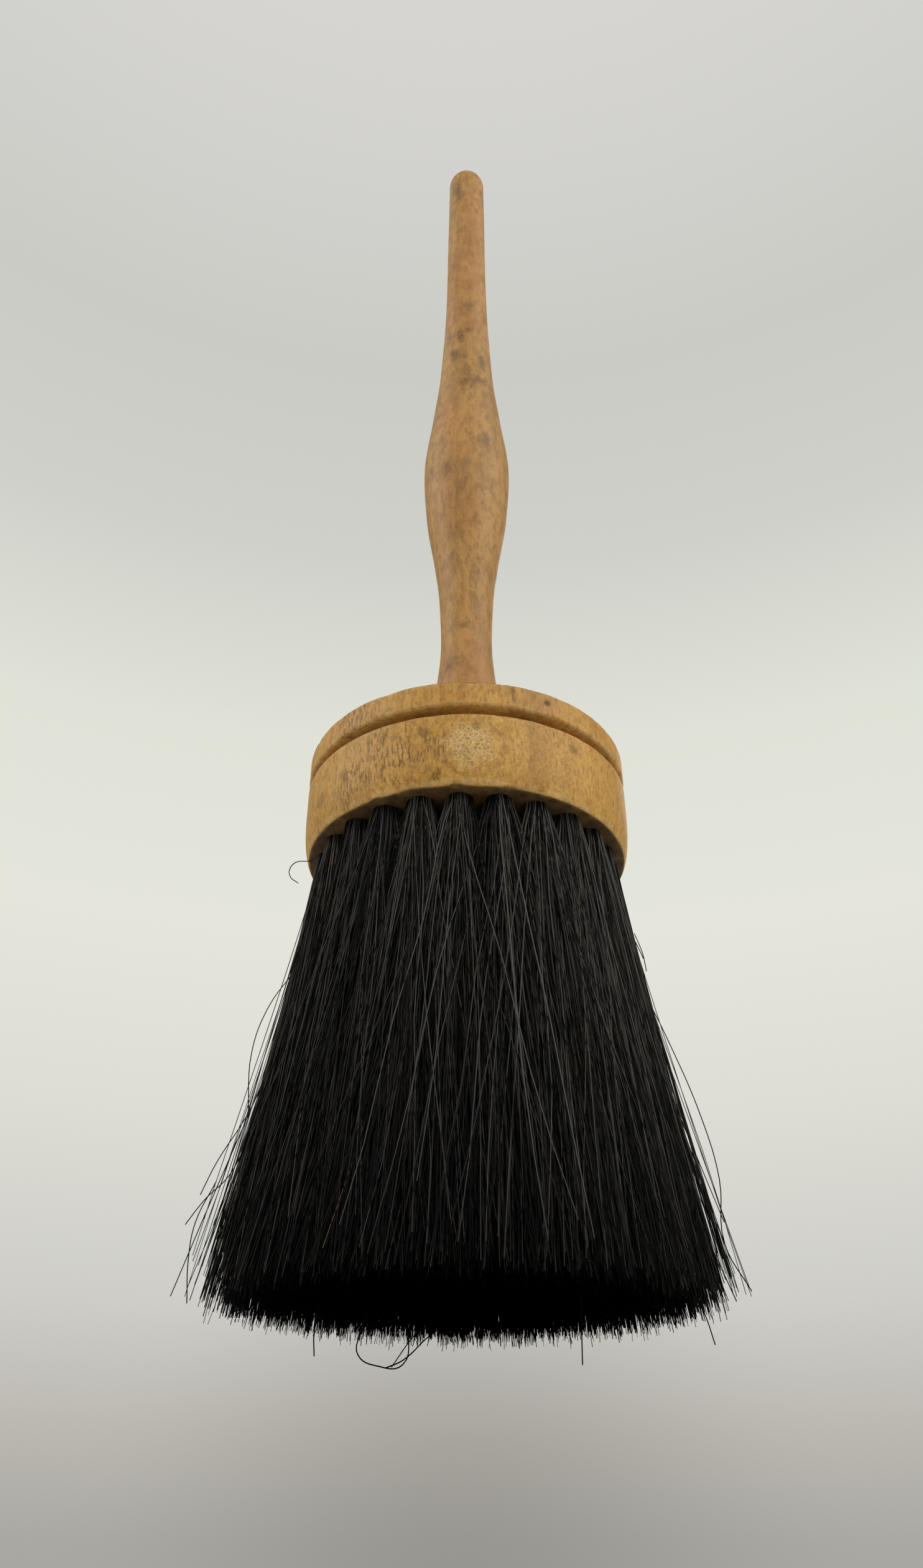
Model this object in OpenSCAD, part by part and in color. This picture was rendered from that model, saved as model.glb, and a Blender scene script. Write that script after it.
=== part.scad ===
// Barber's neck duster: a turned handle on a round wooden head, with rings of hair
// tufts drawn into splayed holes in the underside of the head.
//
// The brush stands on its cut hair. The origin is the centre of the cut ends and
// +Z runs up through the head to the end of the handle. Millimetres.

/* [Head] */
// Diameter of the round head
head_d = 58; // [58:1:64]
// Height of the drilled block that carries the hair
block_h = 13.6; // [13:0.2:18]
// Height of the band round the cap, above the rebate
cap_band_h = 4.9; // [4.5:0.1:7]
// How much the top of the cap rises from its edge to its middle
cap_rise = 0.8; // [0.4:0.1:1.6]
// Width of the rebate turned where the cap meets the block
rebate_w = 1.9; // [1.2:0.1:2.6]
// Depth of that rebate
rebate_depth = 2.6; // [1.6:0.1:2.8]
// How far the lower edge of the block is turned in
edge_in = 1.4; // [0.6:0.1:1.6]
// Height over which the lower edge is turned in
edge_h = 7.6; // [3:0.2:9]

/* [Handle] */
// Length of the handle above the cap
handle_len = 204.4; // [190:0.2:225]
// Diameter of the collar that seats on the cap
collar_d = 25; // [20:0.5:30]
// Diameter of the neck above the collar
neck_d = 10.4; // [9.6:0.1:12]
// Diameter of the swelling that the hand grips
bulge_d = 19.1; // [16:0.1:22]
// Diameter of the slender end
tip_d = 9.4; // [8:0.1:10.4]
// Diameter of the spigot that fits the cap's socket
spigot_d = 12; // [10:0.5:14]

/* [Hair] */
// Length of the hair below the block
hair_len = 71.6; // [60:0.2:85]
// Rings of tufts round the middle tuft; each ring has 8 more tufts than the last
rings = 3; // [2:1:3]
// Wood between the centres of the outer ring and the edge of the head
rim_w = 4.6; // [4.4:0.1:5]
// Height above the block's face at which the axes of all holes meet
splay_h = 230; // [200:5:320]
// Diameter of a hair hole
hole_d = 4.1; // [3.8:0.1:4.4]
// Depth of a hair hole
hole_depth = 9.2; // [8:0.2:9.6]
// Diameter of the narrow hole that the wire is pulled through
pull_d = 2; // [1.8:0.1:2.2]
// Share of the room between tufts that a tuft fills at its cut end
tuft_fill = 0.98; // [0.7:0.01:0.98]
// Diameter of the drawing wire
wire_d = 0.5; // [0.4:0.05:0.5]

/* [Hidden] */
$fn = 48;

// The head, from the hair up
block_z = hair_len;
block_top_z = block_z + block_h;
band_z = block_top_z + rebate_w;
band_top_z = band_z + cap_band_h;
seat_z = band_top_z + cap_rise;
head_r = head_d / 2;
boss_r = head_r - rebate_depth;
lip_r = 0.6;
arris_r = 0.8;
land_w = 1.6;
pocket_r = boss_r - land_w;
pocket_depth = 1;

// The socket in the cap and the screw that draws the handle into it
socket_depth = 4.4;
spigot_len = 4.2;
screw_d = 3.6;
screw_len = 34;
screw_head_d = 7;
screw_head_h = 1.8;
screw_point = 5;
screw_tip_d = 0.4;
screw_slot = 0.9;
fit = 0.05;

// Four brads through the cap, between the holes of the outer ring
brads = 4;
brad_d = 1;
brad_len = 12;
brad_head_d = 1.8;
brad_head_h = 0.6;

// The hair
ring_step = (head_r - rim_w) / rings;
tufts_per_ring = 8;
ring_names = ["centre", "inner", "middle", "outer"];
tuft_root_d = hole_d - 0.5;
tuft_top = hole_depth - 0.5;
spring_len = 10;
loop_r = 0.6;
loop_z = tuft_top - 1.2;
loop_fit = 0.04;
centre_run = 3.4;

// The handle's outline as [height above the cap, diameter]; a smooth curve joins the stations
collar_h = 3.4;
stations = [
    [collar_h, collar_d - 2.6],
    [8, 17.4],
    [15, 13.4],
    [31, neck_d],
    [43, neck_d + 0.1 * (bulge_d - neck_d)],
    [53, neck_d + 0.36 * (bulge_d - neck_d)],
    [67, neck_d + 0.81 * (bulge_d - neck_d)],
    [81, bulge_d],
    [98, tip_d + 0.67 * (bulge_d - tip_d)],
    [115, tip_d + 0.34 * (bulge_d - tip_d)],
    [150, tip_d + 0.07 * (bulge_d - tip_d)],
    [handle_len - tip_d / 2, tip_d],
];
steps_per_span = 6;

function two_digits(i) = str(i < 10 ? "0" : "", i);
function count(ring) = ring == 0 ? 1 : tufts_per_ring * ring;
function tuft_name(ring, i) = str("tuft_", ring_names[ring], "_", two_digits(i));
function wire_name(ring) = str("draw_wire_", ring_names[ring]);
function ring_r(ring) = ring * ring_step;
function splay(ring) = atan(ring_r(ring) / splay_h);

// Distance between neighbouring tufts, at depth h below the block, where they are closest
function pitch(h) = 2 * ring_step * (1 + h / splay_h) * sin(180 / tufts_per_ring);
function tuft_d(h) = tuft_fill * pitch(h);

function wire_ring_r(ring) = ring_r(ring) * (1 - (wire_z - block_z) / splay_h);
wire_z = block_top_z - pocket_depth + wire_d / 2 + fit / 2;

wood = [0.80, 0.60, 0.36];
handle_wood = [0.72, 0.50, 0.30];
hair = [0.10, 0.09, 0.085];
brass = [0.72, 0.58, 0.30];
steel = [0.45, 0.45, 0.46];

// Slope of the outline at a station. The harmonic mean keeps the curve from overshooting.
function chord(p, i) = (p[i + 1][1] - p[i][1]) / (p[i + 1][0] - p[i][0]);
function slope(p, i) =
    i == 0 ? chord(p, 0) :
    i == len(p) - 1 ? chord(p, i - 1) :
    let (a = chord(p, i - 1), b = chord(p, i))
        a * b <= 0 ? 0 : 2 * a * b / (a + b);

// A point on the outline, at share t of span i, as [radius, height]
function on_span(p, i, t) =
    let (h = p[i + 1][0] - p[i][0])
    [
        ((2 * t^3 - 3 * t^2 + 1) * p[i][1] + (t^3 - 2 * t^2 + t) * h * slope(p, i)
            + (3 * t^2 - 2 * t^3) * p[i + 1][1] + (t^3 - t^2) * h * slope(p, i + 1)) / 2,
        p[i][0] + t * h
    ];
function outline(p) = [
    for (i = [0:len(p) - 2], k = [0:steps_per_span - 1]) on_span(p, i, k / steps_per_span)
];

// Points of an elliptical quarter round about [x, z], from angle a to b
function round_edge(x, z, rx, rz, a, b, n = 6) =
    [for (k = [0:n]) [x + rx * cos(a + (b - a) * k / n), z + rz * sin(a + (b - a) * k / n)]];

// Puts children at hole i of a ring: origin at the hole's mouth, +Z up the hole's own axis
module at_hole(ring, i) {
    rotate([0, 0, 360 * (i - 1) / count(ring)])
        translate([ring_r(ring), 0, block_z])
            rotate([0, -splay(ring), 0])
                children();
}

// The turned handle, with its collar, its spigot and a pilot hole for the screw
module handle() {
    tip_z = handle_len - tip_d / 2;
    collar_r = collar_d / 2;
    color(handle_wood)
        translate([0, 0, seat_z])
            difference() {
                rotate_extrude()
                    polygon(concat(
                        [[0, -spigot_len], [spigot_d / 2, -spigot_len], [spigot_d / 2, 0]],
                        [[collar_r - 1, 0]],
                        round_edge(collar_r - 1, 1.5, 1, 1.5, -60, 70),
                        outline(stations),
                        round_edge(0, tip_z, tip_d / 2, tip_d / 2, 0, 90, 12)
                    ));
                pilot_hole();
            }
}

// The hole in the handle that the screw is driven into, up to its point
module pilot_hole() {
    shank_end = block_top_z + screw_len - screw_point - seat_z;
    translate([0, 0, -spigot_len - 1])
        cylinder(h = spigot_len + 1 + shank_end, d = screw_d + 2 * fit);
    translate([0, 0, shank_end])
        cylinder(h = screw_point + fit, d1 = screw_d + 2 * fit, d2 = screw_tip_d + 2 * fit);
}

// The cap: a turned disc that closes the back of the block, with the rebate under its band
module head_cap() {
    cap_t = seat_z - block_top_z;
    color(wood)
        difference() {
            rotate_extrude()
                polygon(concat(
                    [[0, block_top_z], [boss_r, block_top_z], [boss_r, band_z]],
                    round_edge(head_r - lip_r, band_z + lip_r, lip_r, lip_r, -90, 0),
                    round_edge(head_r - arris_r, band_top_z - arris_r, arris_r, arris_r, 0, 80),
                    [[collar_d / 2 + 1, seat_z], [0, seat_z]]
                ));
            translate([0, 0, seat_z - socket_depth])
                cylinder(h = socket_depth + 1, d = spigot_d + 2 * fit);
            translate([0, 0, block_top_z - 1])
                cylinder(h = cap_t, d = screw_d + 2 * fit);
            screw_head(fit);
            brad_places()
                brad(fit);
        }
}

// A hair hole with the narrow hole above it that the wire is pulled through
module stepped_hole() {
    below = 2;
    above = 8;
    translate([0, 0, -below])
        cylinder(h = below + hole_depth, d = hole_d);
    cylinder(h = hole_depth + above, d = pull_d);
}

// The block: a turned drum with stepped, splayed holes and a pocket for the wires in its back
module tuft_block() {
    chamfer = 0.3;
    color(wood)
        difference() {
            rotate_extrude()
                polygon(concat(
                    [[0, block_z]],
                    round_edge(head_r - edge_in, block_z + edge_h, edge_in, edge_h, -90, 0, 8),
                    [[head_r, block_top_z - chamfer], [head_r - chamfer, block_top_z]],
                    [[0, block_top_z]]
                ));
            translate([0, 0, block_top_z - pocket_depth])
                cylinder(h = pocket_depth + 1, r = pocket_r);
            for (ring = [0:rings], i = [1:count(ring)])
                at_hole(ring, i)
                    stepped_hole();
            brad_places()
                brad(fit);
        }
}

// A countersunk head, grown all round by gap
module screw_head(gap = 0) {
    translate([0, 0, block_top_z])
        cylinder(h = screw_head_h, d1 = screw_head_d + 2 * gap, d2 = screw_d + 2 * gap);
}

// The steel screw, driven up through the cap into the handle before the block is fitted
module handle_screw() {
    sunk = 0.2;
    color(steel)
        difference() {
            union() {
                translate([0, 0, block_top_z + sunk])
                    cylinder(h = screw_head_h, d1 = screw_head_d - 2 * sunk, d2 = screw_d);
                translate([0, 0, block_top_z + screw_head_h])
                    cylinder(h = screw_len - screw_head_h - screw_point, d = screw_d);
                translate([0, 0, block_top_z + screw_len - screw_point])
                    cylinder(h = screw_point, d1 = screw_d, d2 = screw_tip_d);
            }
            translate([-screw_head_d, -screw_slot / 2, block_top_z - 1])
                cube([2 * screw_head_d, screw_slot, 2]);
        }
}

// Puts children at each brad: origin on the top of the cap, between two holes of the outer ring
module brad_places() {
    between_holes = 180 / count(rings);
    r = boss_r - land_w / 2;
    on_top = band_top_z + cap_rise * (head_r - r) / (head_r - collar_d / 2);
    for (i = [0:brads - 1])
        rotate([0, 0, 360 * i / brads + between_holes])
            translate([r, 0, on_top])
                children();
}

// A brad with a small flat head, grown all round by gap
module brad(gap = 0) {
    translate([0, 0, -brad_len - gap])
        cylinder(h = brad_len + gap + 1, d = brad_d + 2 * gap);
    translate([0, 0, -brad_head_h - gap])
        cylinder(h = brad_head_h + gap + 1, d = brad_head_d + 2 * gap);
}

// The brads that pin the cap to the rim of the block
module cap_brads() {
    sunk = 0.25;
    color(steel)
        brad_places()
            difference() {
                brad();
                translate([0, 0, -sunk])
                    cylinder(h = 2, r = brad_head_d);
            }
}

// One pull of the wire: up, over and down again through the fold of a tuft. It stands on the
// bottom of its bend, and is grown all round by gap.
module wire_pull(top, gap = 0) {
    leg_d = wire_d - 0.06;
    translate([0, 0, loop_z + loop_r])
        rotate([0, 0, 90])
            rotate([-90, 0, 0])
                rotate_extrude(angle = 180)
                    translate([loop_r, 0])
                        circle(d = wire_d + 2 * gap);
    for (side = [-1, 1])
        translate([0, side * loop_r, loop_z + loop_r - 0.05])
            cylinder(h = top - loop_z - loop_r + 0.05, d = leg_d + 2 * gap);
}

// The drawing wire of one ring: it runs round the back of the block and dips into every hole
module draw_wire(ring) {
    n = count(ring);
    r = wire_ring_r(ring);
    top = (wire_z - block_z) / cos(splay(ring));
    half = asin(loop_r / max(r, 1));
    color(brass) {
        for (i = [1:n])
            at_hole(ring, i)
                wire_pull(top);
        if (ring == 0)
            for (side = [-1, 1])
                translate([0, side * loop_r, wire_z])
                    rotate([-90 * side, 0, 0])
                        cylinder(h = centre_run, d = wire_d);
        else
            for (i = [1:n])
                rotate([0, 0, 360 * (i - 1) / n + half])
                    translate([0, 0, wire_z])
                        rotate_extrude(angle = 360 / n - 2 * half)
                            translate([r, 0])
                                circle(d = wire_d);
    }
}

// One tuft: a bundle of hair folded over the wire. It springs out below the block and is cut flat.
module tuft(ring, i) {
    root_r = tuft_root_d / 2;
    long = block_z / cos(splay(ring)) + pitch(hair_len) * tan(splay(ring)) + 1;
    crown = round_edge(0, tuft_top - root_r, root_r, root_r, 90, 0);
    color(hair)
        difference() {
            at_hole(ring, i)
                difference() {
                    rotate_extrude()
                        polygon(concat(
                            crown,
                            [[root_r, 0], [0.48 * tuft_d(spring_len), -spring_len]],
                            [[tuft_d(hair_len) / 2, -long]],
                            [[0, -long]]
                        ));
                    wire_pull(tuft_top + 1, loop_fit);
                }
            translate([0, 0, -20])
                cylinder(h = 20, r = head_d);
        }
}

handle();
head_cap();
tuft_block();
handle_screw();
cap_brads();
for (ring = [0:rings])
    draw_wire(ring);
for (ring = [0:rings], i = [1:count(ring)])
    tuft(ring, i);
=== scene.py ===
import math
import random

import bmesh
import bpy
import numpy as np
from mathutils import Matrix, Vector


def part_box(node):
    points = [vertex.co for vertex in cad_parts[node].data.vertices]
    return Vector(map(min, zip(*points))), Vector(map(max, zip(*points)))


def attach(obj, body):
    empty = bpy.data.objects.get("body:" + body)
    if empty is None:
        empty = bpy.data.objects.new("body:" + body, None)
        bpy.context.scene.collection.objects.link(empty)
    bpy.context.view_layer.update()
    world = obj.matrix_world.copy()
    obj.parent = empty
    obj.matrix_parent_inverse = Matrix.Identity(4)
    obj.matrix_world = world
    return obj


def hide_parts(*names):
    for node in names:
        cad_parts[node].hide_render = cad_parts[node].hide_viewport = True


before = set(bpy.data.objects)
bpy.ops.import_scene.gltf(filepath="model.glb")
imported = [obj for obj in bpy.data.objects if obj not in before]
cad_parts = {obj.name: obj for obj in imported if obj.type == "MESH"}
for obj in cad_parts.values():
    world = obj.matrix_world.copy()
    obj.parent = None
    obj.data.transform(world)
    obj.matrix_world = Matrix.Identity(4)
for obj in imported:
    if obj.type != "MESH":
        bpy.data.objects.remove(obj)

scene = bpy.context.scene
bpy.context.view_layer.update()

# ---- Tuft block ------------------------------------------------------------------------
# The lower drum of the head, turned from varnished beech with its grain along the axis.
# It is drilled with rings of splayed, stepped holes for the hair, and has a shallow pocket
# in its back for the wires. Long use has nicked its lower edge and dulled the varnish.

MM = 0.001
low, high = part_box("tuft_block")
head_r = high.x / MM
block_z = low.z / MM
block_top = high.z / MM
boss_r = head_r - 2.6
pocket_r = boss_r - 1.6
pocket_deep = 1
face_r, back_r = 22, 26.6
lower_round, lower_rise = 1.4, 7.6
upper_round = 0.35
ring_names = ["centre", "inner", "middle", "outer"]
ring_step = 24.4 / 3
tufts_in_ring = [max(1, 8 * ring) for ring in range(4)]
splay_h = 230
seat_r, seat_deep = 2.05, 9.2
wire_hole_r, wire_hole_end = 1, 17.2
bit_below = 2


def along(points, step):
    """The same outline, with no straight run longer than step."""
    out = [points[0]]
    for a, b in zip(points, points[1:]):
        runs = max(1, math.ceil(math.dist(a, b) / step))
        dr, dz = b[0] - a[0], b[1] - a[1]
        out += [(a[0] + dr * k / runs, a[1] + dz * k / runs) for k in range(1, runs + 1)]
    return out


def round_edge(r, z, rr, rz, start, end, steps=8):
    """Stations on an elliptical quarter round about (r, z)."""
    turn = [math.radians(start + (end - start) * k / steps) for k in range(steps + 1)]
    return [(r + rr * math.cos(a), z + rz * math.sin(a)) for a in turn]


def chips(seed, z, count, deep):
    """Small knocks along one edge, as (bearing, z, half width, half height, depth)."""
    rnd = random.Random(seed)
    return [
        (
            rnd.uniform(0, 360), z + rnd.uniform(-0.2, 0.2),
            rnd.uniform(0.25, 1.1), rnd.uniform(0.2, 0.5), deep * rnd.random() ** 2,
        )
        for _ in range(count)
    ]


def turned(outline, turns, knocks=(), skin=0.0, sway=0.0, closed=False):
    """Turns an outline of (radius, z) stations in mm about Z. Outside the radius skin it is a
    little out of round, by sway, and has the knocks. A closed outline has a hole down its axis."""
    bearing = np.arange(turns) * (2 * math.pi / turns)
    verts, rings = [], []
    for r, z in outline:
        if r < 1e-6:
            rings.append([len(verts)])
            verts.append((0.0, 0.0, z * MM))
            continue
        out = np.full(turns, float(r))
        if r > skin:
            out += sway * (np.sin(2 * bearing + 0.05 * z) + 0.6 * np.sin(3 * bearing + 1.3 + 0.11 * z))
            for at, at_z, wide, tall, deep in knocks:
                if abs(z - at_z) < 3 * tall:
                    off = (bearing - math.radians(at) + math.pi) % (2 * math.pi) - math.pi
                    out -= deep * np.exp(-((off * r / wide) ** 2) - ((z - at_z) / tall) ** 2)
        rings.append(list(range(len(verts), len(verts) + turns)))
        verts += [(a * MM, b * MM, z * MM) for a, b in zip(out * np.cos(bearing), out * np.sin(bearing))]
    faces = []
    pairs = list(zip(rings, rings[1:])) + ([(rings[-1], rings[0])] if closed else [])
    for a, b in pairs:
        for k in range(turns):
            n = (k + 1) % turns
            if len(a) == 1 and len(b) > 1:
                faces.append((a[0], b[n], b[k]))
            elif len(b) == 1 and len(a) > 1:
                faces.append((a[k], a[n], b[0]))
            elif len(a) > 1:
                faces.append((a[k], a[n], b[n], b[k]))
    mesh = bpy.data.meshes.new("turned")
    mesh.from_pydata(verts, [], faces)
    work = bmesh.new()
    work.from_mesh(mesh)
    bmesh.ops.recalc_face_normals(work, faces=work.faces)
    work.to_mesh(mesh)
    work.free()
    return mesh


def piece(name, mesh, node=None):
    """Puts a mesh in the scene under a name. A piece that stands for a CAD node rides with it."""
    made = bpy.data.objects.new(name, mesh)
    scene.collection.objects.link(made)
    if node:
        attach(made, "root")
        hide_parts(node)
    return made


class Socket:
    """A socket of a node tree. Arithmetic on it adds Math nodes."""

    def __init__(self, tree, end=None):
        self.tree, self.end = tree, end

    def add(self, kind, settings={}, sockets={}, out=0):
        """Adds a node: its settings first, then the values or links of its sockets."""
        node = self.tree.nodes.new(kind)
        for name, value in settings.items():
            if name == "stops":
                ramp = node.color_ramp.elements
                for k, (at, colour) in enumerate(value):
                    stop = ramp[k] if k < 2 else ramp.new(at)
                    stop.position, stop.color = at, colour
            else:
                setattr(node, name, value)
        for key, value in sockets.items():
            if isinstance(value, Socket):
                self.tree.links.new(value.end, node.inputs[key])
            else:
                node.inputs[key].default_value = value
        return Socket(self.tree, node.outputs[out])

    def maths(self, operation, *others, first=None):
        """A Math node on this socket and the others. Where first is given, it comes before this one."""
        terms = [self, *others] if first is None else [first, self]
        return self.add("ShaderNodeMath", {"operation": operation}, dict(enumerate(terms)))

    def mix(self, factor, a, b):
        """Goes from colour a to colour b as factor goes from 0 to 1."""
        return self.add("ShaderNodeMix", {"data_type": "RGBA"}, {0: factor, 6: a, 7: b}, 2)

    def ease(self, low, high):
        """0 at low, 1 at high, and smooth between."""
        kind = {"interpolation_type": "SMOOTHSTEP"}
        return self.add("ShaderNodeMapRange", kind, {0: self, 1: low, 2: high})

    def __add__(self, other):
        return self.maths("ADD", other)

    def __radd__(self, other):
        return self.maths("ADD", first=other)

    def __sub__(self, other):
        return self.maths("SUBTRACT", other)

    def __rsub__(self, other):
        return self.maths("SUBTRACT", first=other)

    def __mul__(self, other):
        return self.maths("MULTIPLY", other)

    def __rmul__(self, other):
        return self.maths("MULTIPLY", first=other)

    def __truediv__(self, other):
        return self.maths("DIVIDE", other)

    def __pow__(self, other):
        return self.maths("POWER", other)


def tint(red, green, blue):
    """A paint colour from 0 to 255, as linear light."""

    def linear(c):
        return ((c / 255 + 0.055) / 1.055) ** 2.4 if c > 10 else c / 255 / 12.92

    return linear(red), linear(green), linear(blue), 1.0


def varnished_beech(
    name, honey, brown, pale, grain, flecks, stains, warm=0.0,
    marks=(), rays=(), rings=(), dirt_and_shade=None, wear_and_highlight=None,
):
    """Old varnished beech with its grain along Z. It goes from pale through honey to brown, with
    grain as the width of its streaks in mm, and flecks, stains and warm as the strength of each.
    Marks are (x, y, z, radius in mm, depth of tone and, for a streak, how many times longer than
    wide): dark above zero, crazed and pale below. Rays are places (x, y, z, radius) where the ray
    flecks crowd, and rings are (x, y, z, radius) of round cup stains. dirt_and_shade and
    wear_and_highlight make masks from a place's distance from the axis, its height and how much it
    faces up: the first is dirt and, on the head, painted shade; the second is worn varnish and, on
    the cap's lip, a painted highlight."""
    finish = bpy.data.materials.new(name)
    finish.use_nodes = True
    tree = finish.node_tree
    wood = Socket(tree)
    spot = wood.add("ShaderNodeTexCoord", out="Object")
    mm = wood.add("ShaderNodeVectorMath", {"operation": "SCALE"}, {0: spot, "Scale": 1000.0})
    x, y, z = (wood.add("ShaderNodeSeparateXYZ", {}, {0: mm}, k) for k in range(3))
    r = (x * x + y * y) ** 0.5

    def noise(place, size, detail, rough=0.55):
        blots = {"Vector": place, "Scale": 1 / size, "Detail": detail, "Roughness": rough}
        return wood.add("ShaderNodeTexNoise", {}, blots)

    def drawn_out(length, shift=(0.0, 0.0, 0.0)):
        stretch = {"Vector": mm, "Location": shift, "Scale": (1.0, 1.0, 1 / length)}
        return wood.add("ShaderNodeMapping", {}, stretch)

    def distance(px, py, pz, length=1.0):
        ends = {0: drawn_out(length), 1: (px, py, pz / length)}
        return wood.add("ShaderNodeVectorMath", {"operation": "DISTANCE"}, ends, "Value")

    def patch(px, py, pz, size, tone=1.0, length=1.0, soft=1.6):
        """The tone at a place, fading raggedly to 0 at size mm from it."""
        near = distance(px, py, pz, length)
        return (1 - (near / size + (patchy - 0.5) * soft).ease(0.3, 1.0)) * abs(tone)

    def largest(masks):
        top = 0.0 * r
        for mask in masks:
            top = top.maths("MAXIMUM", mask)
        return top

    normal = wood.add("ShaderNodeNewGeometry", out="Normal")
    facing = wood.add("ShaderNodeSeparateXYZ", {}, {0: normal}, 2)
    speck = noise(mm, 0.35, 3.0, 0.7)
    grainy = noise(drawn_out(2.2), grain, 4.0, 0.7)
    patchy = noise(mm, 2.4, 4.0, 0.65)

    # Fibres, growth rings about a pith that lies outside the turned piece, and ray flecks
    fibre = noise(drawn_out(14), 0.5, 5.0, 0.6)
    hair_line = noise(drawn_out(25), 0.16, 2.0)
    cloud = noise(drawn_out(3), 9.0, 3.0, 0.6)
    broad = noise(drawn_out(2, (31.0, 7.0, 3.0)), 22.0, 2.0)
    pith_x, pith_y = x - 31.0, y + 47.0
    from_pith = (pith_x * pith_x + pith_y * pith_y) ** 0.5 + cloud * 4.0
    growth = (0.5 + 0.5 * (from_pith * 2.4).maths("SINE")) ** 3.0
    cells = {"Vector": drawn_out(3.8, (3.0, 9.0, 0.0)), "Scale": 1.5, "Randomness": 1.0}
    fleck_d = wood.add("ShaderNodeTexVoronoi", {}, cells, "Distance") + (speck - 0.5) * 0.35
    cell_colour = wood.add("ShaderNodeTexVoronoi", {}, cells, "Color")
    fleck_pick = wood.add("ShaderNodeSeparateColor", {}, {0: cell_colour})
    crowd = largest(patch(*ray) for ray in rays)
    picked = (fleck_pick + (cloud - 0.5) * 0.8 + crowd * 0.6).ease(0.75, 1.0)
    fleck = (1 - fleck_d.ease(0.14, 0.36)) * picked * flecks
    stroke = noise(drawn_out(5, (5.0, 1.0, 8.0)), 0.4, 3.0, 0.6).ease(0.52, 0.6) * crowd
    fleck = fleck.maths("MAXIMUM", stroke * 0.9)

    # Dirt and painted shade, old stains, knocks, and the patches where the varnish has crazed or rubbed off,
    # with a painted highlight on the cap's lip
    # Dirt, and painted shade as well on the head's underside and the cap's top edge.
    dirt_and_shade_mask = dirt_and_shade(r, z, facing) if dirt_and_shade else 0.0 * r
    # Worn varnish, and a painted highlight as well on the cap's lip.
    rubbed_and_highlight = (wear_and_highlight(r, z, facing) if wear_and_highlight else 0.0 * r) * patchy.ease(0.38, 0.6)
    dark_mark = largest(patch(*mark) for mark in marks if mark[4] > 0)
    crazed = largest(patch(*mark, soft=1.1) for mark in marks if mark[4] < 0)
    cups = [1 - (distance(*ring[:3]) - ring[3]).maths("ABSOLUTE").ease(0.1, 0.6) for ring in rings]
    cup_stain = largest(cups) * patchy.ease(0.4, 0.6)
    cracks = {"feature": "DISTANCE_TO_EDGE"}
    crack_d = wood.add("ShaderNodeTexVoronoi", cracks, {"Vector": mm, "Scale": 1.5}, "Distance")
    flaked = crazed * (1 - crack_d.ease(0.04, 0.2)) * speck.ease(0.36, 0.5)
    scuffed_and_highlight = (flaked * 1.5 + crazed * 0.2).ease(0.0, 1.3).maths("MAXIMUM", rubbed_and_highlight)
    stain = noise(drawn_out(2.0, (11.0, 2.0, 40.0)), grain * 2.8, 4.0, 0.65).ease(0.48, 0.74) * stains

    # Bare wood first, then what is in it, and last what has got onto it, together with painted shade and a
    # painted highlight
    colour = wood.mix(fibre.ease(0.3, 0.7) * 0.4 + broad.ease(0.35, 0.65) * 0.35, honey, pale)
    for strength, layer in (
        (growth * 0.16 + (1 - cloud.ease(0.3, 0.62)) * 0.4, brown),
        ((grainy.ease(0.44, 0.62) + hair_line.ease(0.5, 0.7) * 0.5) * 0.55, brown),
        (speck.ease(0.55, 0.7) * flecks * 0.3, tint(96, 62, 26)),
        ((1 - speck.ease(0.32, 0.45)) * flecks * 0.5, tint(226, 184, 112)),
        (broad.ease(0.45, 0.6) * warm, tint(160, 100, 52)),
        (cup_stain * 0.35, tint(84, 62, 36)),
        (fleck * 0.7, tint(84, 50, 20)),
        (stain * 0.6, tint(98, 76, 46)),
        # Pale where the varnish is crazed or worn, and a painted highlight on the cap's lip.
        (scuffed_and_highlight * 0.7, tint(222, 200, 152)),
        ((crazed * speck.ease(0.55, 0.66) * 0.7).ease(0.0, 1.0), tint(88, 58, 28)),
        # Dark with dirt, and with painted shade on the head's underside and the cap's top edge.
        ((dirt_and_shade_mask * (0.5 + 0.7 * patchy)).ease(0.0, 1.0), tint(50, 38, 26)),
        ((dark_mark * (0.35 + 0.9 * speck)).ease(0.0, 1.0), tint(58, 38, 20)),
    ):
        colour = wood.mix(strength, colour, layer)
    gloss = 0.56 + (fibre - 0.5) * 0.2 + scuffed_and_highlight * 0.25 + dirt_and_shade_mask * 0.2 + (patchy - 0.5) * 0.2
    relief = (
        fibre * 0.25 + hair_line * 0.15 + grainy * 0.3 - fleck * 0.5 - dark_mark * 0.6 - scuffed_and_highlight * speck * 0.8
        - dirt_and_shade_mask * speck * 0.5 - stain * 0.15 + patchy * 0.4
    )
    shader = tree.nodes["Principled BSDF"]
    bump = wood.add("ShaderNodeBump", {}, {"Strength": 0.6, "Distance": 0.00022, "Height": relief})
    tree.links.new(colour.end, shader.inputs["Base Color"])
    tree.links.new(gloss.end, shader.inputs["Roughness"])
    tree.links.new(bump.end, shader.inputs["Normal"])
    tree.links.new((0.07 - scuffed_and_highlight * 0.05 - dirt_and_shade_mask * 0.03).end, shader.inputs["Coat Weight"])
    shader.inputs["Coat Roughness"].default_value = 0.35
    shader.inputs["Specular IOR Level"].default_value = 0.2
    return finish


def near_z(z, at, half):
    """1 on the level at, and fading to 0 at half mm above and below it."""
    return 1 - (z - at).maths("ABSOLUTE").ease(half * 0.3, half)


def block_dirt_and_shade(r, z, facing):
    """Dirt and painted shade all over the down-facing drilled underside, and dirt a little at the top of the
    side.
    """
    # Faces that point down are darkened: dirt and painted shade.
    return 0.9 - 0.9 * facing.ease(-0.75, -0.4) * (1 - near_z(z, block_top, 0.6) * 0.3)


def block_worn(r, z, facing):
    """Varnish rubbed thin along the turned-in lower edge."""
    return near_z(z, block_z + 0.6, 1.1) * facing.ease(-0.85, -0.3) * 0.35


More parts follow.
